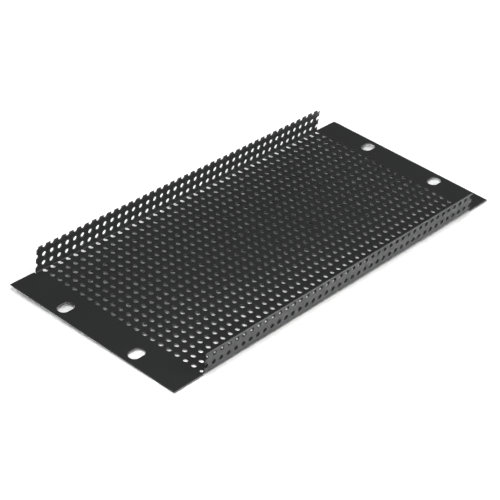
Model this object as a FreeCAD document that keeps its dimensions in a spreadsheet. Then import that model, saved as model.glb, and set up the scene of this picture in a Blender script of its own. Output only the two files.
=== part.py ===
import FreeCAD, Part
import math
import os
import Sketcher

# Vented rack blanking panel: one sheet of steel, folded up along both long edges.
# X runs along the panel, +Y to the taller flange and +Z up from the front face, at Z = 0.
# The origin is under the middle of the outline. Sizes are in millimetres.

NODE = "vented_panel"

SIZES = {
    # Outline
    "panel_length": 308.6,
    "rack_unit": 44.45,
    "rack_units": 3,
    "height_gap": 0.8,
    "sheet_thickness": 0.9,
    # Folds: inside radius, and where the neutral line runs in the wall
    "bend_radius": 0.5,
    "neutral_share": 0.42,
    "flange_inset": 0.4,
    "relief_width": 0.5,
    "far_flange_height": 18.5,
    "near_flange_height": 14.5,
    # Perforation: one square grid over the face and both flanges
    "hole_diameter": 3.2,
    "hole_pitch": 6.35,
    "plain_end": 24.0,
    "grid_shift": 1.6,
    # How far the flanges run past the centres of the face's outermost columns
    "far_run_left": 6.1,
    "far_run_right": 1.3,
    "near_run": 1.3,
    # Fixing slots in the plain ends
    "slot_length": 11.4,
    "slot_width": 7.1,
    "slot_from_end": 9.1,
    "slot_spacing": 57.15,
}

# Places that follow from the sizes, each as an expression of the cells above
HALF_LENGTH = "(Sizes.panel_length / 2)"
HALF_HEIGHT = "((Sizes.rack_units * Sizes.rack_unit - Sizes.height_gap) / 2)"
BEND_TOP = "(Sizes.sheet_thickness + Sizes.bend_radius)"
FLANGE_OUTSIDE = f"({HALF_HEIGHT} - Sizes.flange_inset)"
BEND_LINE = f"({FLANGE_OUTSIDE} - {BEND_TOP})"
NEUTRAL_RADIUS = "(Sizes.bend_radius + Sizes.neutral_share * Sizes.sheet_thickness)"
BEND_ALLOWANCE = f"(pi / 2 * {NEUTRAL_RADIUS})"

COLUMNS = "(floor((Sizes.panel_length - 2 * Sizes.plain_end) / Sizes.hole_pitch) + 1)"
ROWS = f"(floor(2 * {BEND_LINE} / Sizes.hole_pitch) + 1)"
HALF_COLUMNS = f"(({COLUMNS} - 1) * Sizes.hole_pitch / 2)"
HALF_ROWS = f"(({ROWS} - 1) * Sizes.hole_pitch / 2)"
FIRST_COLUMN = f"(Sizes.grid_shift - {HALF_COLUMNS})"
LAST_COLUMN = f"(Sizes.grid_shift + {HALF_COLUMNS})"

FAR_LEFT = f"({FIRST_COLUMN} - Sizes.far_run_left)"
FAR_RIGHT = f"({LAST_COLUMN} + Sizes.far_run_right)"
NEAR_LEFT = f"({FIRST_COLUMN} - Sizes.near_run)"
NEAR_RIGHT = f"({LAST_COLUMN} + Sizes.near_run)"

# The pitch is kept along the sheet, so round a fold it is measured on the neutral line
FLANGE_ROW = f"({BEND_TOP} + Sizes.hole_pitch - {BEND_ALLOWANCE} - ({BEND_LINE} - {HALF_ROWS}))"

FLANGE_INSIDE = f"({FLANGE_OUTSIDE} - Sizes.sheet_thickness)"

# A cut starts and ends this far outside the sheet, so that its tool shares no face with it
CLEAR = "Sizes.sheet_thickness"
THROUGH = f"(Sizes.sheet_thickness + 2 * {CLEAR})"

ORIGIN = (-1, 1)
START, END, CENTRE = 1, 2, 3


def make_sizes(doc):
    """A spreadsheet with one named cell for each driving dimension."""
    sheet = doc.addObject("Spreadsheet::Sheet", "Sizes")
    for row, (name, value) in enumerate(SIZES.items(), start=1):
        sheet.set(f"A{row}", name)
        sheet.set(f"B{row}", str(value))
        sheet.setAlias(f"B{row}", name)
    doc.recompute()


def value_of(item, expression):
    """The present value of an expression, in the document's units."""
    value = item.evalExpression(expression)
    return float(getattr(value, "Value", value))


def new_sketch(body, name, role, offset="0"):
    """A sketch on one of the body's origin planes, moved along its normal."""
    sketch = body.newObject("Sketcher::SketchObject", name)
    plane = next(item for item in body.Origin.OriginFeatures if item.Role == role)
    sketch.AttachmentSupport = [(plane, "")]
    sketch.MapMode = "FlatFace"
    sketch.setExpression("AttachmentOffset.Base.z", offset)
    return sketch


def bind(sketch, kind, name, expression, *geometry):
    """A named dimension that follows an expression of the sizes."""
    constraint = Sketcher.Constraint(kind, *geometry, value_of(sketch, expression))
    number = sketch.addConstraint(constraint)
    sketch.renameConstraint(number, name)
    sketch.setExpression(f"Constraints.{name}", expression)


def pin(sketch, name, place, geometry, end):
    """Hold one point of the geometry at a place given by two expressions."""
    bind(sketch, "DistanceX", name + "_x", place[0], *ORIGIN, geometry, end)
    bind(sketch, "DistanceY", name + "_y", place[1], *ORIGIN, geometry, end)


def join(sketch, *ends):
    """Two ends of the geometry meet: each is a geometry number and one of its points."""
    sketch.addConstraint(Sketcher.Constraint("Coincident", *ends))


def place_in(sketch, place):
    """The point that two expressions give at present."""
    return FreeCAD.Vector(value_of(sketch, place[0]), value_of(sketch, place[1]), 0)


def add_arc(sketch, name, centre, radius, first, last):
    """An arc about a pinned centre, between two angles in degrees."""
    circle = Part.Circle(place_in(sketch, centre), FreeCAD.Vector(0, 0, 1), value_of(sketch, radius))
    arc = Part.ArcOfCircle(circle, math.radians(first), math.radians(last))
    number = sketch.addGeometry(arc)
    pin(sketch, name, centre, number, CENTRE)
    bind(sketch, "Radius", name + "_radius", radius, number)
    return number


def add_line(sketch, start, end):
    """A straight line between two places."""
    return sketch.addGeometry(Part.LineSegment(place_in(sketch, start), place_in(sketch, end)))


def pad(body, name, sketch, length):
    """Material over a sketch, along its normal."""
    feature = body.newObject("PartDesign::Pad", name)
    feature.Profile = sketch
    feature.setExpression("Length", length)
    return feature


def pocket(body, name, sketch, depth):
    """A cut from a sketch, along its normal."""
    feature = body.newObject("PartDesign::Pocket", name)
    feature.Profile = sketch
    feature.Reversed = True
    feature.setExpression("Length", depth)
    return feature


def repeat(body, name, feature, columns, rows, column_step, row_step):
    """Repeat a feature along both axes of its own sketch."""
    pattern = body.newObject("PartDesign::LinearPattern", name)
    pattern.Originals = [feature]
    sketch = feature.Profile[0]
    for suffix, axis, count, step in (("", "H_Axis", columns, column_step),
                                      ("2", "V_Axis", rows, row_step)):
        setattr(pattern, "Direction" + suffix, (sketch, [axis]))
        setattr(pattern, "Mode" + suffix, "Spacing")
        setattr(pattern, "Spacings" + suffix, [-1.0])
        pattern.setExpression("Occurrences" + suffix, count)
        pattern.setExpression("Offset" + suffix, step)
    pattern.Refine = False
    body.Tip = pattern
    return pattern


def make_blank(body):
    """The face and its plain ends, cut back to the bend lines where the flanges are."""
    def cut_back(left, right, side):
        """The corners of one long edge, from left to right."""
        edge, bend = f"({side} * {HALF_HEIGHT})", f"({side} * {BEND_LINE})"
        left, right = f"({left} - Sizes.relief_width)", f"({right} + Sizes.relief_width)"
        return [("-" + HALF_LENGTH, edge), (left, edge), (left, bend),
                (right, bend), (right, edge), (HALF_LENGTH, edge)]

    sketch = new_sketch(body, "blank_outline", "XY_Plane")
    corners = cut_back(NEAR_LEFT, NEAR_RIGHT, -1) + cut_back(FAR_LEFT, FAR_RIGHT, 1)[::-1]
    following = corners[1:] + corners[:1]
    lines = [add_line(sketch, start, end) for start, end in zip(corners, following)]
    for index, corner in enumerate(corners):
        join(sketch, lines[index - 1], END, lines[index], START)
        pin(sketch, f"corner_{index}", corner, lines[index], START)
    return pad(body, "blank", sketch, "Sizes.sheet_thickness")


def make_fold(body, name, side, height, left, right):
    """One long edge folded up: a quarter bend and a flange, as a section swept along X."""
    sketch = new_sketch(body, name + "_section", "YZ_Plane", left)
    bend = f"({side} * {BEND_LINE})"
    angles = (-90, 0) if side > 0 else (180, 270)
    outer = add_arc(sketch, "outer", (bend, BEND_TOP), BEND_TOP, *angles)
    inner = add_arc(sketch, "inner", (bend, BEND_TOP), "Sizes.bend_radius", *angles)
    foot_end, flange_end = (START, END) if side > 0 else (END, START)

    outside = f"({side} * {FLANGE_OUTSIDE})"
    inside = f"({side} * {FLANGE_INSIDE})"
    foot = add_line(sketch, (bend, "0"), (bend, "Sizes.sheet_thickness"))
    outer_wall = add_line(sketch, (outside, BEND_TOP), (outside, height))
    rim = add_line(sketch, (outside, height), (inside, height))
    inner_wall = add_line(sketch, (inside, height), (inside, BEND_TOP))
    join(sketch, outer, foot_end, foot, START)
    join(sketch, foot, END, inner, foot_end)
    join(sketch, outer, flange_end, outer_wall, START)
    join(sketch, outer_wall, END, rim, START)
    join(sketch, rim, END, inner_wall, START)
    join(sketch, inner_wall, END, inner, flange_end)
    for line in (outer_wall, inner_wall):
        sketch.addConstraint(Sketcher.Constraint("Vertical", line))
    sketch.addConstraint(Sketcher.Constraint("Horizontal", rim))
    for arc in (outer, inner):
        sketch.addConstraint(Sketcher.Constraint("Vertical", arc, foot_end, arc, CENTRE))
        sketch.addConstraint(Sketcher.Constraint("Horizontal", arc, flange_end, arc, CENTRE))
    bind(sketch, "DistanceY", "height", height, *ORIGIN, rim, START)
    return pad(body, name, sketch, f"{right} - {left}")


def reach(run):
    """How many columns or rows a run past a hole's centre meets, whole or in part."""
    return f"floor(({run} + Sizes.hole_diameter / 2) / Sizes.hole_pitch)"


def pierce(body, name, role, offset, depth, first, columns, rows):
    """A field of round holes on the square grid, from the place of its first hole."""
    sketch = new_sketch(body, name + "_hole", role, offset)
    radius = value_of(sketch, "Sizes.hole_diameter / 2")
    circle = Part.Circle(place_in(sketch, first), FreeCAD.Vector(0, 0, 1), radius)
    number = sketch.addGeometry(circle)
    pin(sketch, "centre", first, number, CENTRE)
    bind(sketch, "Diameter", "diameter", "Sizes.hole_diameter", number)
    hole = pocket(body, name + "_first", sketch, depth)
    pitch = "Sizes.hole_pitch"
    return hole, repeat(body, name, hole, columns, rows, pitch, pitch)


def slot(body):
    """One long round-ended slot at each corner of the rack's fixing pattern."""
    sketch = new_sketch(body, "slot_outline", "XY_Plane", "-" + CLEAR)
    radius = "(Sizes.slot_width / 2)"
    middle = f"(Sizes.slot_from_end - {HALF_LENGTH})"
    half_run = "((Sizes.slot_length - Sizes.slot_width) / 2)"
    height = "(-Sizes.slot_spacing / 2)"
    left, right = f"({middle} - {half_run})", f"({middle} + {half_run})"
    left_end = add_arc(sketch, "left_end", (left, height), radius, 90, 270)
    right_end = add_arc(sketch, "right_end", (right, height), radius, -90, 90)
    top, bottom = f"({height} + {radius})", f"({height} - {radius})"
    upper = add_line(sketch, (right, top), (left, top))
    lower = add_line(sketch, (left, bottom), (right, bottom))
    for ends in ((upper, START, right_end, END), (upper, END, left_end, START),
                 (lower, START, left_end, END), (lower, END, right_end, START)):
        sketch.addConstraint(Sketcher.Constraint("Tangent", *ends))
    first = pocket(body, "slot", sketch, THROUGH)
    across = "Sizes.panel_length - 2 * Sizes.slot_from_end"
    return first, repeat(body, "slots", first, "2", "2", across, "Sizes.slot_spacing")


def pierce_flange(body, name, upper_face, height, left_run, right_run):
    """The grid carried on up one flange, cut from its face on the +Y side.

    The ends and the rim of the flange cut through the holes that they meet.
    """
    before, after = reach(left_run), reach(right_run)
    first = (f"({FIRST_COLUMN} - {before} * Sizes.hole_pitch)", FLANGE_ROW)
    columns = f"{COLUMNS} + {before} + {after}"
    rows = f"{reach(f'{height} - {FLANGE_ROW}')} + 1"
    start = f"-({upper_face} + {CLEAR})"
    return pierce(body, name, "XZ_Plane", start, THROUGH, first, columns, rows)


def check(doc, body, cuts):
    """Stop if anything failed, or if a cut took nothing away."""
    for item in doc.Objects:
        if {"Invalid", "Error"} & set(item.State):
            raise RuntimeError(f"{item.Name} failed: {item.State}")
    for cut in cuts:
        if cut.Shape.Volume >= cut.BaseFeature.Shape.Volume:
            raise RuntimeError(f"{cut.Name} cuts nothing")
    if body.Shape.isNull() or not body.Shape.isValid() or len(body.Shape.Solids) != 1:
        raise RuntimeError(f"{body.Label} is not one valid solid")


def main():
    """Build the sheet in one body and write it to its file."""
    doc = FreeCAD.newDocument("Panel")
    make_sizes(doc)
    body = doc.addObject("PartDesign::Body", "Panel")
    body.Label = NODE

    make_blank(body)
    make_fold(body, "far_fold", 1, "Sizes.far_flange_height", FAR_LEFT, FAR_RIGHT)
    make_fold(body, "near_fold", -1, "Sizes.near_flange_height", NEAR_LEFT, NEAR_RIGHT)
    doc.recompute()

    cuts = [*slot(body)]
    cuts += pierce_flange(body, "far_holes", FLANGE_OUTSIDE, "Sizes.far_flange_height",
                          "Sizes.far_run_left", "Sizes.far_run_right")
    cuts += pierce_flange(body, "near_holes", "-" + FLANGE_INSIDE, "Sizes.near_flange_height",
                          "Sizes.near_run", "Sizes.near_run")
    # The outermost rows run into the folds, so the face's holes stop where the flanges begin
    cuts += pierce(body, "face_holes", "XY_Plane", f"-{CLEAR}", f"{CLEAR} + {BEND_TOP}",
                   (FIRST_COLUMN, f"-{HALF_ROWS}"), COLUMNS, ROWS)
    doc.recompute()
    check(doc, body, cuts)

    os.makedirs("parts", exist_ok=True)
    body.Shape.exportStep(os.path.join("parts", body.Label + ".step"))
    print(f"{body.Label}: {body.Shape.Volume:.1f} mm3, {len(body.Shape.Faces)} faces")


main()
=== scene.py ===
import logging
import math
from dataclasses import dataclass, field
from enum import Enum
from typing import Any

import bmesh
import bpy
import numpy as np
from mathutils import Euler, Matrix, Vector


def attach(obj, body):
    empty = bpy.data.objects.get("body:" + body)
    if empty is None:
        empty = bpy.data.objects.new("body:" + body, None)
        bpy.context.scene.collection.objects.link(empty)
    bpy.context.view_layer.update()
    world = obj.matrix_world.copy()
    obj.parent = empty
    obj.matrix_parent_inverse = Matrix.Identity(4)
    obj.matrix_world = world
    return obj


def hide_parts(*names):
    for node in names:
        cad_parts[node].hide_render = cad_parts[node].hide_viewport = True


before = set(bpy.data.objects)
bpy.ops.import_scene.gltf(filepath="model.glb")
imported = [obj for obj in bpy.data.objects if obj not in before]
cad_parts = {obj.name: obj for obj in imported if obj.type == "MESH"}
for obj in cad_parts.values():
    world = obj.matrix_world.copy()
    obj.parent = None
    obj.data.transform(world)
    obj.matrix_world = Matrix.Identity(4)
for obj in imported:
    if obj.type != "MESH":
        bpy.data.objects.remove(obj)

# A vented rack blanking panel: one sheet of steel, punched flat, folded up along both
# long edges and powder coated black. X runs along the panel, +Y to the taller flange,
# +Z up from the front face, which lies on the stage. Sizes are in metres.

log = logging.getLogger("vented_panel")

MM = 0.001
WHITE = "#FFFFFF"
# Places that lie closer than this are one
TOUCH = 0.001 * MM
NODE = "vented_panel"
BODY = "root"

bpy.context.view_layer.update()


def linear(colour: str) -> tuple[float, float, float, float]:
    """Turn an sRGB hex colour into a linear one.

    Args:
        colour: The colour as "#RRGGBB".

    Returns:
        Red, green, blue and alpha, from 0 to 1.
    """
    channels = [int(colour[place:place + 2], 16) / 255 for place in (1, 3, 5)]
    values = [c / 12.92 if c <= 0.04045 else ((c + 0.055) / 1.055) ** 2.4 for c in channels]
    return (*values, 1.0)


def add_node(tree: bpy.types.NodeTree, kind: str, inputs: dict[int | str, Any] | None = None,
             **settings: Any) -> bpy.types.Node:
    """Add one node with its settings, its values and its links.

    Args:
        tree: The tree that gets the node.
        kind: The node's type.
        inputs: A value, an output socket or a list of output sockets for each input.
        settings: The node's own properties.

    Returns:
        The new node.
    """
    node = tree.nodes.new(kind)
    for name, value in settings.items():
        setattr(node, name, value)
    for socket, value in (inputs or {}).items():
        for item in value if isinstance(value, list) else [value]:
            if isinstance(item, bpy.types.NodeSocket):
                tree.links.new(item, node.inputs[socket])
            else:
                node.inputs[socket].default_value = item
    return node


def new_material(name: str) -> tuple[bpy.types.Material, bpy.types.NodeTree]:
    """Start a material with an empty node tree.

    Args:
        name: The finish, in a maker's words.

    Returns:
        The material and its tree.
    """
    material = bpy.data.materials.new(name)
    material.use_nodes = True
    material.node_tree.nodes.clear()
    return material, material.node_tree


def new_object(name: str, mesh: bpy.types.Mesh) -> bpy.types.Object:
    """Put a mesh into the scene as an object at the origin.

    Args:
        name: The object's name.
        mesh: Its mesh, with its place in its vertices.

    Returns:
        The object.
    """
    item = bpy.data.objects.new(name, mesh)
    bpy.context.scene.collection.objects.link(item)
    return item


def evaluated_mesh(item: bpy.types.Object) -> bpy.types.Mesh:
    """Make a plain mesh of an object with its modifiers worked in."""
    graph = bpy.context.evaluated_depsgraph_get()
    return bpy.data.meshes.new_from_object(item.evaluated_get(graph))


class Side(Enum):
    """The long edge that a flange stands on, by the sign of its Y."""

    FAR = 1
    NEAR = -1


@dataclass(frozen=True)
class PowderCoat:
    """Satin black polyester powder coat, sprayed on steel and baked.

    It gives the eye a neutral charcoal with a soft sheen, a slight orange peel, and a
    rounded film over each cut edge that catches the light and is also painted paler:
    a painted highlight that shows as a thin pale line.
    """

    colour: str = "#1B1C1C"
    drift_colour: str = "#1E1F1F"
    # Painted highlight: the paler grey that the rounded edge faces are painted
    painted_edge_highlight: str = "#3A3B3B"
    roughness: float = 0.42
    roughness_spread: float = 0.08
    ior: float = 1.6
    # The peel of such a coat has cells of about 1 mm, drawn at 1.6 so that it shows
    peel: float = 1.6 * MM
    peel_depth: float = 0.010 * MM
    # Powder grains of some 0.05 mm melt into specks, drawn at 0.4 so that they show
    grain: float = 0.4 * MM
    grain_depth: float = 0.003 * MM
    # The spray gun's passes leave a drift in the film over the width of the fan
    drift: float = 80 * MM

    def make(self) -> bpy.types.Material:
        """Build the material.

        Returns:
            The powder coat, on Object coordinates and the sheet's edge attribute, which paints
            the rounded edges paler as a painted highlight.
        """
        material, tree = new_material("satin_powder_coat_on_steel")
        place = add_node(tree, "ShaderNodeTexCoord").outputs["Object"]
        peel, grain, drift = (
            add_node(tree, "ShaderNodeTexNoise",
                     {"Vector": place, "Scale": 1 / size, "Detail": detail}).outputs["Fac"]
            for size, detail in ((self.peel, 2.0), (self.grain, 1.0), (self.drift, 3.0)))
        edge = add_node(tree, "ShaderNodeAttribute", attribute_name="rounded").outputs["Fac"]

        # A colour Mix has its factor at input 0, its colours at 6 and 7, its result at output 2
        film = add_node(tree, "ShaderNodeMix", {
            0: drift, 6: linear(self.colour), 7: linear(self.drift_colour)}, data_type="RGBA")
        # The rounded edge faces are painted the paler grey: a painted highlight along each cut
        # edge
        coat = add_node(tree, "ShaderNodeMix", {
            0: edge, 6: film.outputs[2], 7: linear(self.painted_edge_highlight)}, data_type="RGBA")
        sheen = add_node(tree, "ShaderNodeMapRange", {
            "Value": peel, "To Min": self.roughness - self.roughness_spread / 2,
            "To Max": self.roughness + self.roughness_spread / 2})
        fine = add_node(tree, "ShaderNodeBump", {
            "Height": grain, "Distance": self.grain_depth, "Strength": 1.0})
        rough = add_node(tree, "ShaderNodeBump", {
            "Height": peel, "Distance": self.peel_depth, "Strength": 1.0,
            "Normal": fine.outputs["Normal"]})
        shader = add_node(tree, "ShaderNodeBsdfPrincipled", {
            "Base Color": coat.outputs[2], "Roughness": sheen.outputs["Result"],
            "IOR": self.ior, "Normal": rough.outputs["Normal"]})
        add_node(tree, "ShaderNodeOutputMaterial", {"Surface": shader.outputs["BSDF"]})
        return material


def distance_share(tree: bpy.types.NodeTree, near: float, far: float, middle: float = 0.0,
                   stretch: float = 1.0) -> bpy.types.NodeSocket:
    """Add how far a place lies from a middle, as a share of a span.

    Args:
        tree: The tree that the nodes join.
        near: The distance up to which the share is 0.
        far: The distance past which the share is 1.
        middle: The X of the middle. Its Y and Z are 0.
        stretch: How many times as far each distance reaches along X as along Y.

    Returns:
        The socket that holds the share.
    """
    place = add_node(tree, "ShaderNodeTexCoord").outputs["Object"]
    centred = add_node(tree, "ShaderNodeMapping", {
        "Vector": place, "Location": (-middle / stretch, 0.0, 0.0),
        "Scale": (1 / stretch, 1.0, 1.0)})
    distance = add_node(tree, "ShaderNodeVectorMath", {
        0: centred.outputs["Vector"]}, operation="LENGTH")
    share = add_node(tree, "ShaderNodeMapRange", {
        0: distance.outputs["Value"], 1: near, 2: far})
    return share.outputs[0]


@dataclass(frozen=True)
class WhiteBoard:
    """White painted board under the stage's clear sheet.

    It gives the eye a clean white that keeps the shadow of what stands above it, and a
    painted shade under the panel's middle.
    """

    colour: str = "#F2F2F2"
    # The eye and reflections see the board this much paler than the light that it gives
    gain: float = 0.55
    # Under the panel they see it less pale: a painted shade that deepens to the middle
    shade_gain: float = 0.3
    # The distances across the panel between which that painted shade ends, the X of its
    # middle, and how many times as far it reaches along the panel
    shade: tuple[float, float] = (10 * MM, 50 * MM)
    shade_middle: float = 20 * MM
    shade_stretch: float = 2.3
    # The distances from its middle between which the board fades to plain white for the eye
    fade: tuple[float, float] = (0.6, 1.6)

    def make(self) -> bpy.types.Material:
        """Build the material.

        Returns:
            The matt white, paler where it is seen than where it lights, with a painted shade
            under the panel's middle, and plain far off.
        """
        material, tree = new_material("white_painted_board")
        paint = add_node(tree, "ShaderNodeBsdfDiffuse", {"Color": linear(self.colour)})
        path = add_node(tree, "ShaderNodeLightPath").outputs
        seen = add_node(tree, "ShaderNodeMath", {
            0: path["Is Camera Ray"], 1: path["Is Glossy Ray"]}, operation="MAXIMUM")
        seen = add_node(tree, "ShaderNodeMath", {
            0: seen.outputs[0], 1: path["Is Transmission Ray"]}, operation="MAXIMUM")
        # Painted shade: under the panel's middle the board is seen less pale
        shade = distance_share(tree, *self.shade, self.shade_middle, self.shade_stretch)
        gain = add_node(tree, "ShaderNodeMix", {0: shade, 2: self.shade_gain, 3: self.gain})
        more = add_node(tree, "ShaderNodeMath", {
            0: seen.outputs[0], 1: gain.outputs[0]}, operation="MULTIPLY")
        extra = add_node(tree, "ShaderNodeBsdfDiffuse", {"Color": more.outputs[0]})
        both = add_node(tree, "ShaderNodeAddShader", {
            0: paint.outputs["BSDF"], 1: extra.outputs["BSDF"]})
        far = add_node(tree, "ShaderNodeMath", {
            0: distance_share(tree, *self.fade), 1: path["Is Camera Ray"]}, operation="MULTIPLY")
        plain = add_node(tree, "ShaderNodeEmission", {"Color": linear(WHITE)})
        faded = add_node(tree, "ShaderNodeMixShader", {
            0: far.outputs[0], 1: both.outputs["Shader"], 2: plain.outputs["Emission"]})
        add_node(tree, "ShaderNodeOutputMaterial", {"Surface": faded.outputs["Shader"]})
        return material


@dataclass(frozen=True)
class ClearSheet:
    """Polished clear acrylic that the panel lies on.

    It gives the eye a faint reflection at the panel's edges, over the board below it.
    """

    roughness: float = 0.08
    ior: float = 1.49
    # The distances from its middle between which the gloss fades out
    fade: tuple[float, float] = (0.45, 0.7)

    def make(self) -> bpy.types.Material:
        """Build the material.

        Returns:
            A gloss over a pane that lets light straight through.
        """
        material, tree = new_material("clear_cast_acrylic")
        gloss = add_node(tree, "ShaderNodeBsdfGlossy", {
            "Color": linear(WHITE), "Roughness": self.roughness})
        pane = add_node(tree, "ShaderNodeBsdfTransparent")
        rim = add_node(tree, "ShaderNodeFresnel", {"IOR": self.ior})
        kept = add_node(tree, "ShaderNodeMath", {
            0: 1.0, 1: distance_share(tree, *self.fade)}, operation="SUBTRACT")
        share = add_node(tree, "ShaderNodeMath", {
            0: rim.outputs["Fac"], 1: kept.outputs[0]}, operation="MULTIPLY")
        both = add_node(tree, "ShaderNodeMixShader", {
            0: share.outputs[0], 1: pane.outputs["BSDF"], 2: gloss.outputs["BSDF"]})
        add_node(tree, "ShaderNodeOutputMaterial", {"Surface": both.outputs["Shader"]})
        return material


@dataclass(frozen=True)
class Fold:
    """How the sheet bends: a quarter turn about an axis along X at each long edge."""

    thickness: float = 0.9 * MM
    inside_radius: float = 0.5 * MM
    # Where the length stays the same in the wall, as a share of the thickness
    neutral_share: float = 0.42
    # The Y of both bend lines
    line: float = 64.475 * MM
    steps: int = 8

    @property
    def top(self) -> float:
        """The height of the bend's axis, where the flat of a flange begins."""
        return self.thickness + self.inside_radius

    @property
    def neutral_radius(self) -> float:
        """The radius at which the wall keeps its length."""
        return self.inside_radius + self.neutral_share * self.thickness

    @property
    def allowance(self) -> float:
        """The length of sheet that a quarter turn takes."""
        return math.pi / 2 * self.neutral_radius

    @property
    def end(self) -> float:
        """The Y in the flat sheet where a bend ends and its flange goes on."""
        return self.line + self.allowance

    def flat_reach(self, height: float) -> float:
        """The Y in the flat sheet of the rim of a flange of that height."""
        return self.end + height - self.top

    def stations(self) -> list[float]:
        """The Y of each line across which a bend turns by one step, in the flat sheet."""
        return [self.line + self.allowance * step / self.steps
                for step in range(self.steps + 1)]

    def wrap(self, points: np.ndarray, bent: np.ndarray) -> np.ndarray:
        """Carry points of the flat sheet to the folded one.

        Args:
            points: One row of X, Y and Z for each point.
            bent: True for each point that lies on a flange or its bend.

        Returns:
            The points where the folded sheet has them.
        """
        side, reach, depth = np.sign(points[:, 1]), np.abs(points[:, 1]), points[:, 2]
        turn = np.clip(reach - self.line, 0, self.allowance) / self.neutral_radius
        radius = self.top - depth
        beyond = np.maximum(reach - self.end, 0)
        y = np.where(bent, self.line + radius * np.sin(turn), reach)
        z = np.where(bent, self.top - radius * np.cos(turn) + beyond, depth)
        return np.column_stack((points[:, 0], side * y, z))


@dataclass(frozen=True)
class Flange:
    """One folded edge: its height above the front face, and where it starts and ends."""

    side: Side
    height: float
    left: float
    right: float


@dataclass(frozen=True)
class HoleGrid:
    """The round vent holes: one square grid over the face and on up both flanges."""

    diameter: float = 3.2 * MM
    pitch: float = 6.35 * MM
    columns: int = 42
    rows: int = 21
    shift: float = 1.6 * MM
    far_rows: int = 3
    near_rows: int = 2
    sides: int = 24
    # A point this close to a hole's circle is on its wall, which has flat sides
    wall_tolerance: float = 0.03 * MM

    @property
    def first(self) -> float:
        """The X of the face's first column."""
        return self.shift - (self.columns - 1) * self.pitch / 2

    @property
    def last(self) -> float:
        """The X of the face's last column."""
        return self.shift + (self.columns - 1) * self.pitch / 2

    @property
    def reach(self) -> float:
        """The Y of the face's outermost row."""
        return (self.rows - 1) * self.pitch / 2

    def on_wall(self, points: np.ndarray) -> np.ndarray:
        """Which points lie on the wall of a hole of the grid.

        Args:
            points: One row of X, Y and Z for each point of the flat sheet.

        Returns:
            True or False for each point.
        """
        steps = (points[:, :2] - (self.first, self.reach)) / self.pitch
        gap = np.hypot(*((steps - np.round(steps)) * self.pitch).T)
        return np.abs(gap - self.diameter / 2) < self.wall_tolerance


@dataclass(frozen=True)
class Slots:
    """The round-ended fixing slots, two in each plain end."""

    length: float = 11.4 * MM
    width: float = 7.1 * MM
    across: float = 290.4 * MM
    spacing: float = 57.15 * MM
    sides: int = 48


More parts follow.
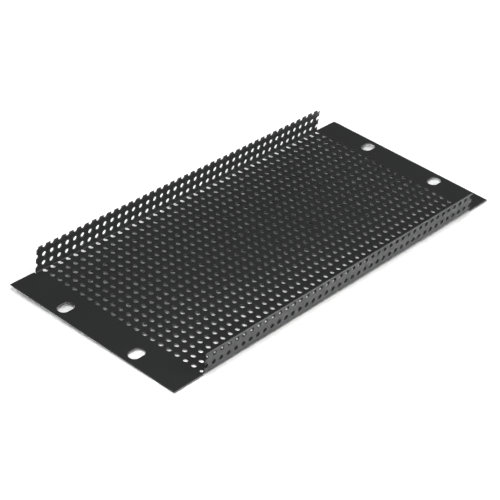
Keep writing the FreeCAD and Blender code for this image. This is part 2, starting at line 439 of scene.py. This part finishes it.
@dataclass
class VentedPanel:
    """The panel itself: blank, punched, its edges rounded by the coat, and folded."""

    length: float = 308.6 * MM
    height: float = 132.55 * MM
    relief: float = 0.5 * MM
    far_height: float = 18.5 * MM
    near_height: float = 14.5 * MM
    # How far the flanges run past the centres of the face's outermost columns
    run: float = 1.3 * MM
    far_run_left: float = 6.1 * MM
    outline_round: float = 0.25 * MM
    hole_round: float = 0.14 * MM
    # Degrees: an edge that turns more is a cut edge, and past the second its shading breaks
    cut_angle: float = 60.0
    shading_angle: float = 35.0
    # The punches are this many thicknesses long, and the sheet's faces join at this distance
    stroke: float = 3.0
    weld: float = 0.01 * MM
    fold: Fold = field(default_factory=Fold)
    grid: HoleGrid = field(default_factory=HoleGrid)
    slots: Slots = field(default_factory=Slots)
    coat: PowderCoat = field(default_factory=PowderCoat)
    flanges: list[Flange] = field(init=False)

    def __post_init__(self) -> None:
        """Place both flanges by the columns of the grid."""
        first, right = self.grid.first, self.grid.last + self.run
        self.flanges = [
            Flange(Side.FAR, self.far_height, first - self.far_run_left, right),
            Flange(Side.NEAR, self.near_height, first - self.run, right)]

    def holds(self, x: float, y: float) -> bool:
        """Whether the flat sheet has material at a place, before it is punched.

        Args:
            x: The place's X.
            y: Its Y in the flat sheet.

        Returns:
            True inside the outline.
        """
        if abs(x) > self.length / 2:
            return False
        for flange in self.flanges:
            rise = y * flange.side.value
            if rise > self.fold.line:
                if flange.left < x < flange.right:
                    return rise < self.fold.flat_reach(flange.height)
                if flange.left - self.relief < x < flange.right + self.relief:
                    return False
        return abs(y) < self.height / 2

    def on_flange(self, points: np.ndarray) -> np.ndarray:
        """Which points of the flat sheet lie past a bend line and between a flange's ends.

        Args:
            points: One row of X, Y and Z for each point.

        Returns:
            True or False for each point.
        """
        bent = np.zeros(len(points), bool)
        for flange in self.flanges:
            past = points[:, 1] * flange.side.value > self.fold.line - TOUCH
            left, right = flange.left - self.relief / 2, flange.right + self.relief / 2
            bent |= past & (points[:, 0] > left) & (points[:, 0] < right)
        return bent

    def cut_lines(self) -> tuple[list[float], list[float]]:
        """The lines that part the flat sheet into cells, one hole to a cell.

        Returns:
            The X of the lines across the sheet, and the Y of the lines along it.
        """
        grid, fold = self.grid, self.fold
        across = {-self.length / 2, self.length / 2}
        across |= {grid.first + (k - 0.5) * grid.pitch for k in range(-1, grid.columns + 1)}
        along = {-self.height / 2, self.height / 2}
        along |= {(k + 0.5) * grid.pitch - grid.reach for k in range(grid.rows - 1)}
        for flange in self.flanges:
            side = flange.side.value
            across |= {flange.left, flange.left - self.relief}
            across |= {flange.right, flange.right + self.relief}
            rim = fold.flat_reach(flange.height)
            rows = (grid.reach + (k + 1.5) * grid.pitch for k in range(grid.far_rows))
            along |= {side * y for y in (*fold.stations(), rim, *(r for r in rows if r < rim))}
        return sorted(across), sorted(along)

    def blank(self) -> bpy.types.Object:
        """Lay out the flat sheet's outline as cells at Z = 0.

        Returns:
            The blank, ready for the punch.
        """
        across, along = self.cut_lines()
        shape = bmesh.new()
        corners: dict[tuple[int, int], bmesh.types.BMVert] = {}
        for i, (left, right) in enumerate(zip(across, across[1:])):
            for j, (low, high) in enumerate(zip(along, along[1:])):
                if not self.holds((left + right) / 2, (low + high) / 2):
                    continue
                keys = ((i, j), (i + 1, j), (i + 1, j + 1), (i, j + 1))
                for column, row in keys:
                    if (column, row) not in corners:
                        place = (across[column], along[row], 0)
                        corners[column, row] = shape.verts.new(place)
                shape.faces.new([corners[key] for key in keys])
        mesh = bpy.data.meshes.new("blank")
        shape.to_mesh(mesh)
        shape.free()
        return new_object("blank", mesh)

    def punch_tree(self) -> bpy.types.NodeTree:
        """Build the tree that thickens the blank and punches its holes and slots.

        Returns:
            The tree, with a named input for each size.
        """
        tree = bpy.data.node_groups.new("punched_sheet", "GeometryNodeTree")
        sockets = {"Blank": "Geometry", "Thickness": "Float", "Hole Diameter": "Float",
                   "Hole Sides": "Int", "Pitch": "Float", "Columns": "Int", "Rows": "Int",
                   "First Hole": "Vector", "Extra Column Above": "Float",
                   "Slot Length": "Float", "Slot Width": "Float", "Slot Sides": "Int",
                   "Slot Spacing Across": "Float", "Slot Spacing Along": "Float",
                   "Material": "Material"}
        for name, kind in sockets.items():
            tree.interface.new_socket(name, in_out="INPUT", socket_type="NodeSocket" + kind)
        tree.interface.new_socket("Sheet", in_out="OUTPUT", socket_type="NodeSocketGeometry")
        given = add_node(tree, "NodeGroupInput").outputs

        # The sheet: the blank, its own underside turned over, and one thickness between
        raised = add_node(tree, "GeometryNodeExtrudeMesh", {
            "Mesh": given["Blank"], "Offset Scale": given["Thickness"], "Individual": False})
        underside = add_node(tree, "GeometryNodeFlipFaces", {"Mesh": given["Blank"]})
        closed = add_node(tree, "GeometryNodeJoinGeometry", {
            "Geometry": [raised.outputs["Mesh"], underside.outputs["Mesh"]]})
        sheet = add_node(tree, "GeometryNodeMergeByDistance", {
            "Geometry": closed.outputs["Geometry"], "Distance": self.weld})

        # The round punch, at each point of the grid
        stroke = add_node(tree, "ShaderNodeMath", {
            0: given["Thickness"], 1: self.stroke}, operation="MULTIPLY").outputs[0]
        radius = add_node(tree, "ShaderNodeMath", {
            0: given["Hole Diameter"], 1: 0.5}, operation="MULTIPLY").outputs[0]
        spans = []
        for count in ("Columns", "Rows"):
            gaps = add_node(tree, "ShaderNodeMath", {
                0: given[count], 1: 1.0}, operation="SUBTRACT").outputs[0]
            spans.append(add_node(tree, "ShaderNodeMath", {
                0: gaps, 1: given["Pitch"]}, operation="MULTIPLY").outputs[0])
        field_of_points = add_node(tree, "GeometryNodeMeshGrid", {
            "Size X": spans[0], "Size Y": spans[1],
            "Vertices X": given["Columns"], "Vertices Y": given["Rows"]})
        whole = add_node(tree, "ShaderNodeCombineXYZ", {"X": spans[0], "Y": spans[1]})
        half = add_node(tree, "ShaderNodeVectorMath", {
            0: whole.outputs[0], "Scale": 0.5}, operation="SCALE")
        centre = add_node(tree, "ShaderNodeVectorMath", {
            0: half.outputs[0], 1: given["First Hole"]}, operation="ADD")
        points = add_node(tree, "GeometryNodeTransform", {
            "Geometry": field_of_points.outputs["Mesh"], "Translation": centre.outputs[0]})

        # The first column goes on only up the taller flange
        place = add_node(tree, "GeometryNodeInputPosition").outputs["Position"]
        here = add_node(tree, "ShaderNodeSeparateXYZ", {0: place}).outputs
        start = add_node(tree, "ShaderNodeSeparateXYZ", {0: given["First Hole"]}).outputs
        inner = add_node(tree, "ShaderNodeMath", {
            0: start["X"], 1: given["Hole Diameter"]}, operation="ADD").outputs[0]
        later = add_node(tree, "FunctionNodeCompare", {
            0: here["X"], 1: inner}, operation="GREATER_THAN")
        above = add_node(tree, "FunctionNodeCompare", {
            0: here["Y"], 1: given["Extra Column Above"]}, operation="GREATER_THAN")
        punched = add_node(tree, "FunctionNodeBooleanMath", {
            0: later.outputs[0], 1: above.outputs[0]}, operation="OR")
        punch = add_node(tree, "GeometryNodeMeshCylinder", {
            "Vertices": given["Hole Sides"], "Radius": radius, "Depth": stroke})
        holes = add_node(tree, "GeometryNodeInstanceOnPoints", {
            "Points": points.outputs["Geometry"], "Instance": punch.outputs["Mesh"],
            "Selection": punched.outputs[0]})

        # The slot punch: the hull of two round ends, at the corners of the fixing pattern
        end_radius = add_node(tree, "ShaderNodeMath", {
            0: given["Slot Width"], 1: 0.5}, operation="MULTIPLY").outputs[0]
        run = add_node(tree, "ShaderNodeMath", {
            0: given["Slot Length"], 1: given["Slot Width"]}, operation="SUBTRACT").outputs[0]
        ends = add_node(tree, "GeometryNodeMeshLine", {
            "Count": 2, "Offset": add_node(
                tree, "ShaderNodeCombineXYZ", {"X": run}).outputs[0]}, mode="OFFSET")
        end = add_node(tree, "GeometryNodeMeshCylinder", {
            "Vertices": given["Slot Sides"], "Radius": end_radius, "Depth": stroke})
        both_ends = add_node(tree, "GeometryNodeInstanceOnPoints", {
            "Points": ends.outputs["Mesh"], "Instance": end.outputs["Mesh"]})
        real_ends = add_node(tree, "GeometryNodeRealizeInstances", {
            "Geometry": both_ends.outputs["Instances"]})
        hull = add_node(tree, "GeometryNodeConvexHull", {
            "Geometry": real_ends.outputs["Geometry"]})
        back = add_node(tree, "ShaderNodeMath", {0: run, 1: -0.5}, operation="MULTIPLY")
        step_back = add_node(tree, "ShaderNodeCombineXYZ", {"X": back.outputs[0]})
        slot_punch = add_node(tree, "GeometryNodeTransform", {
            "Geometry": hull.outputs["Convex Hull"], "Translation": step_back.outputs[0]})
        pattern = add_node(tree, "GeometryNodeMeshGrid", {
            "Size X": given["Slot Spacing Across"], "Size Y": given["Slot Spacing Along"],
            "Vertices X": 2, "Vertices Y": 2})
        slots = add_node(tree, "GeometryNodeInstanceOnPoints", {
            "Points": pattern.outputs["Mesh"], "Instance": slot_punch.outputs["Geometry"]})

        tools = add_node(tree, "GeometryNodeJoinGeometry", {
            "Geometry": [holes.outputs["Instances"], slots.outputs["Instances"]]})
        real_tools = add_node(tree, "GeometryNodeRealizeInstances", {
            "Geometry": tools.outputs["Geometry"]})
        cut = add_node(tree, "GeometryNodeMeshBoolean", {
            "Mesh 1": sheet.outputs["Geometry"], "Mesh 2": real_tools.outputs["Geometry"]},
            operation="DIFFERENCE", solver="MANIFOLD")
        real = add_node(tree, "GeometryNodeRealizeInstances", {"Geometry": cut.outputs["Mesh"]})
        coated = add_node(tree, "GeometryNodeSetMaterial", {
            "Geometry": real.outputs["Geometry"], "Material": given["Material"]})
        add_node(tree, "NodeGroupOutput", {"Sheet": coated.outputs["Geometry"]})
        return tree

    def punch(self, blank: bpy.types.Object, coat: bpy.types.Material) -> bpy.types.Mesh:
        """Run the punch tree over the blank.

        Args:
            blank: The flat sheet's cells. It is used up.
            coat: The material for the whole sheet.

        Returns:
            The punched sheet, flat.
        """
        grid, slots = self.grid, self.slots
        rows = grid.rows + grid.far_rows + grid.near_rows
        lowest = -grid.reach - grid.near_rows * grid.pitch
        values = {"Thickness": self.fold.thickness, "Hole Diameter": grid.diameter,
                  "Hole Sides": grid.sides, "Pitch": grid.pitch, "Columns": grid.columns + 1,
                  "Rows": rows, "First Hole": (grid.first - grid.pitch, lowest, 0.0),
                  "Extra Column Above": self.height / 2,
                  "Slot Length": slots.length, "Slot Width": slots.width,
                  "Slot Sides": slots.sides, "Slot Spacing Across": slots.across,
                  "Slot Spacing Along": slots.spacing, "Material": coat}
        tree = self.punch_tree()
        modifier = blank.modifiers.new("punch", "NODES")
        modifier.node_group = tree
        for item in tree.interface.items_tree:
            if item.name in values:
                modifier[item.identifier] = values[item.name]
        mesh = evaluated_mesh(blank)
        bpy.data.objects.remove(blank)
        return mesh

    def round_edges(self, mesh: bpy.types.Mesh) -> bpy.types.Mesh:
        """Round each cut edge as the coat does, but the face's holes only on top.

        Args:
            mesh: The flat punched sheet.

        Returns:
            The sheet with its edges rounded, and those faces marked.
        """
        shape = bmesh.new()
        shape.from_mesh(mesh)
        weight = shape.edges.layers.float.new("bevel_weight_edge")
        cut = math.radians(self.cut_angle)
        edges = [edge for edge in shape.edges if edge.calc_face_angle(0) > cut]
        places = np.array([[vert.co for vert in edge.verts] for edge in edges])
        level = np.ptp(places[:, :, 2], axis=1) < self.fold.thickness / 2
        upper = places[:, :, 2].min(axis=1) > self.fold.thickness / 2
        hole = (self.grid.on_wall(places[:, 0]) & self.grid.on_wall(places[:, 1])
                & self.grid.on_wall(places.mean(axis=1)))
        raised = self.on_flange(places[:, 0]) & self.on_flange(places[:, 1])
        share = self.hole_round / self.outline_round
        weights = np.where(hole, np.where(upper | raised, share, 0.0), 1.0) * level
        for edge, value in zip(edges, weights):
            edge[weight] = value
        shape.to_mesh(mesh)
        shape.free()

        item = new_object("punched", mesh)
        coat = mesh.materials[-1]
        mesh.materials.clear()
        mesh.materials.append(coat)
        mesh.materials.append(coat)
        bevel = item.modifiers.new("coat_round", "BEVEL")
        bevel.limit_method = "WEIGHT"
        bevel.width = self.outline_round
        bevel.segments = 1
        bevel.use_clamp_overlap = False
        bevel.material = 1
        rounded = evaluated_mesh(item)
        bpy.data.objects.remove(item)

        # The bevel's faces are marked so that the coat paints them paler, as a painted highlight
        marks = np.zeros(len(rounded.polygons), np.int32)
        rounded.polygons.foreach_get("material_index", marks)
        attribute = rounded.attributes.new("rounded", "FLOAT", "FACE")
        attribute.data.foreach_set("value", marks.astype(np.float32))
        rounded.polygons.foreach_set("material_index", np.zeros_like(marks))
        rounded.materials.pop(index=1)
        return rounded

    def bend(self, mesh: bpy.types.Mesh) -> None:
        """Fold the flat sheet in place, and set where its shading breaks.

        Args:
            mesh: The flat sheet, punched and with its edges rounded.
        """
        shape = bmesh.new()
        shape.from_mesh(mesh)
        bmesh.ops.dissolve_degenerate(shape, dist=TOUCH, edges=shape.edges[:])
        places = np.array([vert.co for vert in shape.verts])
        bent = self.on_flange(places)
        reach = np.abs(places[:, 1])
        ends = [bent & (np.abs(reach - end) < TOUCH) for end in (self.fold.line, self.fold.end)]
        sharp = math.radians(self.shading_angle)
        shape.verts.index_update()
        for face in shape.faces:
            face.smooth = True
        for edge in shape.edges:
            first, last = (vert.index for vert in edge.verts)
            on_end = any(end[first] and end[last] for end in ends)
            edge.smooth = not (on_end or edge.calc_face_angle(0) > sharp)
        for vert, place in zip(shape.verts, self.fold.wrap(places, bent)):
            vert.co = place
        shape.to_mesh(mesh)
        shape.free()

    def build(self) -> None:
        """Make the panel, and let it stand for the CAD node."""
        mesh = self.punch(self.blank(), self.coat.make())
        mesh = self.round_edges(mesh)
        self.bend(mesh)
        mesh.name = "folded_sheet"
        panel = new_object("folded_sheet", mesh)
        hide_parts(NODE)
        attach(panel, BODY)
        triangles = sum(len(face.vertices) - 2 for face in mesh.polygons)
        log.info("folded_sheet: %d faces, %d triangles", len(mesh.polygons), triangles)


@dataclass
class Stage:
    """A clear sheet over a white board that sweeps up at its rim, so no horizon shows.

    The board falls away a little to the back and the right, so that the shade under the
    panel deepens there.
    """

    board: WhiteBoard = field(default_factory=WhiteBoard)
    clear: ClearSheet = field(default_factory=ClearSheet)
    board_depth: float = 1.4 * MM
    # How far the board falls over a metre to the right, and over a metre to the back
    fall: tuple[float, float] = (1.8 * MM, 19 * MM)
    # The board stays within these depths
    depth_limits: tuple[float, float] = (0.1 * MM, 4 * MM)
    # The panel lies this far above the clear sheet, so that no two faces share a plane
    gap: float = 0.05 * MM
    clear_radius: float = 0.7
    # The board's first two rings, and where its sweep begins
    rings: tuple[float, float] = (0.4, 1.2)
    radius: float = 4.5
    sweep: float = 0.6
    wall: float = 0.9
    sides: int = 96
    sweep_steps: int = 10

    def profile(self) -> list[tuple[float, float]]:
        """Draw the board's section, from its middle out.

        Returns:
            The distance of each ring and its height above the flat.
        """
        flat = [(distance, 0.0) for distance in self.rings]
        turns = (math.pi / 2 * step / self.sweep_steps for step in range(self.sweep_steps + 1))
        sweep = [(self.radius + self.sweep * math.sin(turn), self.sweep * (1 - math.cos(turn)))
                 for turn in turns]
        return [*flat, *sweep, (self.radius + self.sweep, self.sweep + self.wall)]

    def round_sheet(self, profile: list[tuple[float, float]]) -> bmesh.types.BMesh:
        """Turn a section about the middle into a round sheet.

        Args:
            profile: Distance and height of each ring, from the middle out.

        Returns:
            The sheet's mesh, in work.
        """
        shape = bmesh.new()
        rings = []
        for distance, height in profile:
            angles = (2 * math.pi * side / self.sides for side in range(self.sides))
            rings.append([shape.verts.new((distance * math.cos(angle), distance * math.sin(angle),
                                           height)) for angle in angles])
        shape.faces.new(rings[0])
        for inner, outer in zip(rings, rings[1:]):
            for side in range(self.sides):
                after = (side + 1) % self.sides
                face = (inner[side], outer[side], outer[after], inner[after])
                shape.faces.new(face).smooth = True
        return shape

    def sink(self, shape: bmesh.types.BMesh) -> None:
        """Set the board to its depth, creased where the fall meets its limits.

        Args:
            shape: The board's mesh, in work.
        """
        slope = Vector((*self.fall, 0))
        for depth in self.depth_limits:
            crease = slope * (depth - self.board_depth) / slope.length_squared
            bmesh.ops.bisect_plane(shape, geom=[*shape.verts, *shape.edges, *shape.faces],
                                   plane_co=crease, plane_no=slope)
        shallow, deep = self.depth_limits
        for vert in shape.verts:
            depth = self.board_depth + slope.dot(vert.co)
            vert.co.z -= min(max(depth, shallow), deep) + self.gap

    def place(self, name: str, shape: bmesh.types.BMesh, material: bpy.types.Material) -> None:
        """Put a sheet into the scene, as no part of the object.

        Args:
            name: The sheet's name.
            shape: Its mesh, in work. It is used up.
            material: Its finish.
        """
        mesh = bpy.data.meshes.new(name)
        shape.to_mesh(mesh)
        shape.free()
        mesh.materials.append(material)
        new_object(name, mesh)
        log.info("%s: %d faces", name, len(mesh.polygons))

    def build(self) -> None:
        """Make the board and the clear sheet over it."""
        board = self.round_sheet(self.profile())
        self.sink(board)
        self.place("board", board, self.board.make())
        self.place("clear_sheet", self.round_sheet([(self.clear_radius, -self.gap)]),
                   self.clear.make())


@dataclass(frozen=True)
class SoftBox:
    """One square studio soft box, its power in watts, aimed at the panel's middle."""

    name: str
    place: tuple[float, float, float]
    size: float
    power: float
    aim: tuple[float, float, float] = (0.0, 0.0, 0.0)

    def build(self) -> None:
        """Make the lamp and turn it to the panel."""
        lamp = bpy.data.lights.new(self.name, "AREA")
        lamp.shape = "SQUARE"
        lamp.size = self.size
        lamp.energy = self.power
        item = bpy.data.objects.new(self.name, lamp)
        bpy.context.scene.collection.objects.link(item)
        item.location = self.place
        way = Vector(self.aim) - Vector(self.place)
        item.rotation_euler = way.to_track_quat("-Z", "Y").to_euler()
        log.info("%s: %.0f W", self.name, self.power)


@dataclass
class Studio:
    """Plain soft light: a grey surround and soft boxes."""

    surround: str = "#666666"
    surround_strength: float = 1.0
    boxes: tuple[SoftBox, ...] = (
        SoftBox("overhead_box", place=(0.0, 0.0, 1.6), size=1.0, power=10.0),
        SoftBox("right_box", place=(0.9, -1.05, 0.8), size=0.8, power=12.0),
        SoftBox("front_box", place=(-0.1, -1.4, 0.9), size=0.8, power=15.0))

    def build(self) -> None:
        """Light the scene and set how its colours are viewed."""
        scene = bpy.context.scene
        world = bpy.data.worlds.new("surround")
        world.use_nodes = True
        world.node_tree.nodes.clear()
        sky = add_node(world.node_tree, "ShaderNodeBackground", {
            "Color": linear(self.surround), "Strength": self.surround_strength})
        add_node(world.node_tree, "ShaderNodeOutputWorld", {
            "Surface": sky.outputs["Background"]})
        scene.world = world
        scene.view_settings.view_transform = "Standard"
        for box in self.boxes:
            box.build()


@dataclass(frozen=True)
class PhotoCamera:
    """The camera of the photograph, worked out from the grid of holes."""

    place: tuple[float, float, float] = (-0.69834, -0.50732, 0.56833)
    # Degrees about X, Y and Z
    turn: tuple[float, float, float] = (55.9811, -6.4629, -49.1078)
    # The lens and the sensor's width in millimetres
    lens: float = 118.16
    sensor: float = 36.0
    near: float = 0.01

    def build(self) -> None:
        """Make the camera and look through it."""
        data = bpy.data.cameras.new("camera")
        data.lens = self.lens
        data.sensor_width = self.sensor
        data.clip_start = self.near
        camera = bpy.data.objects.new("camera", data)
        bpy.context.scene.collection.objects.link(camera)
        camera.location = self.place
        camera.rotation_euler = Euler([math.radians(angle) for angle in self.turn], "XYZ")
        bpy.context.scene.camera = camera
        log.info("camera: %.1f mm lens", self.lens)


def main() -> None:
    """Build the camera, the stage, the light and the panel."""
    logging.basicConfig(level=logging.INFO, format="%(name)s: %(message)s")
    PhotoCamera().build()
    Stage().build()
    Studio().build()
    VentedPanel().build()


if __name__ == "__main__":
    main()
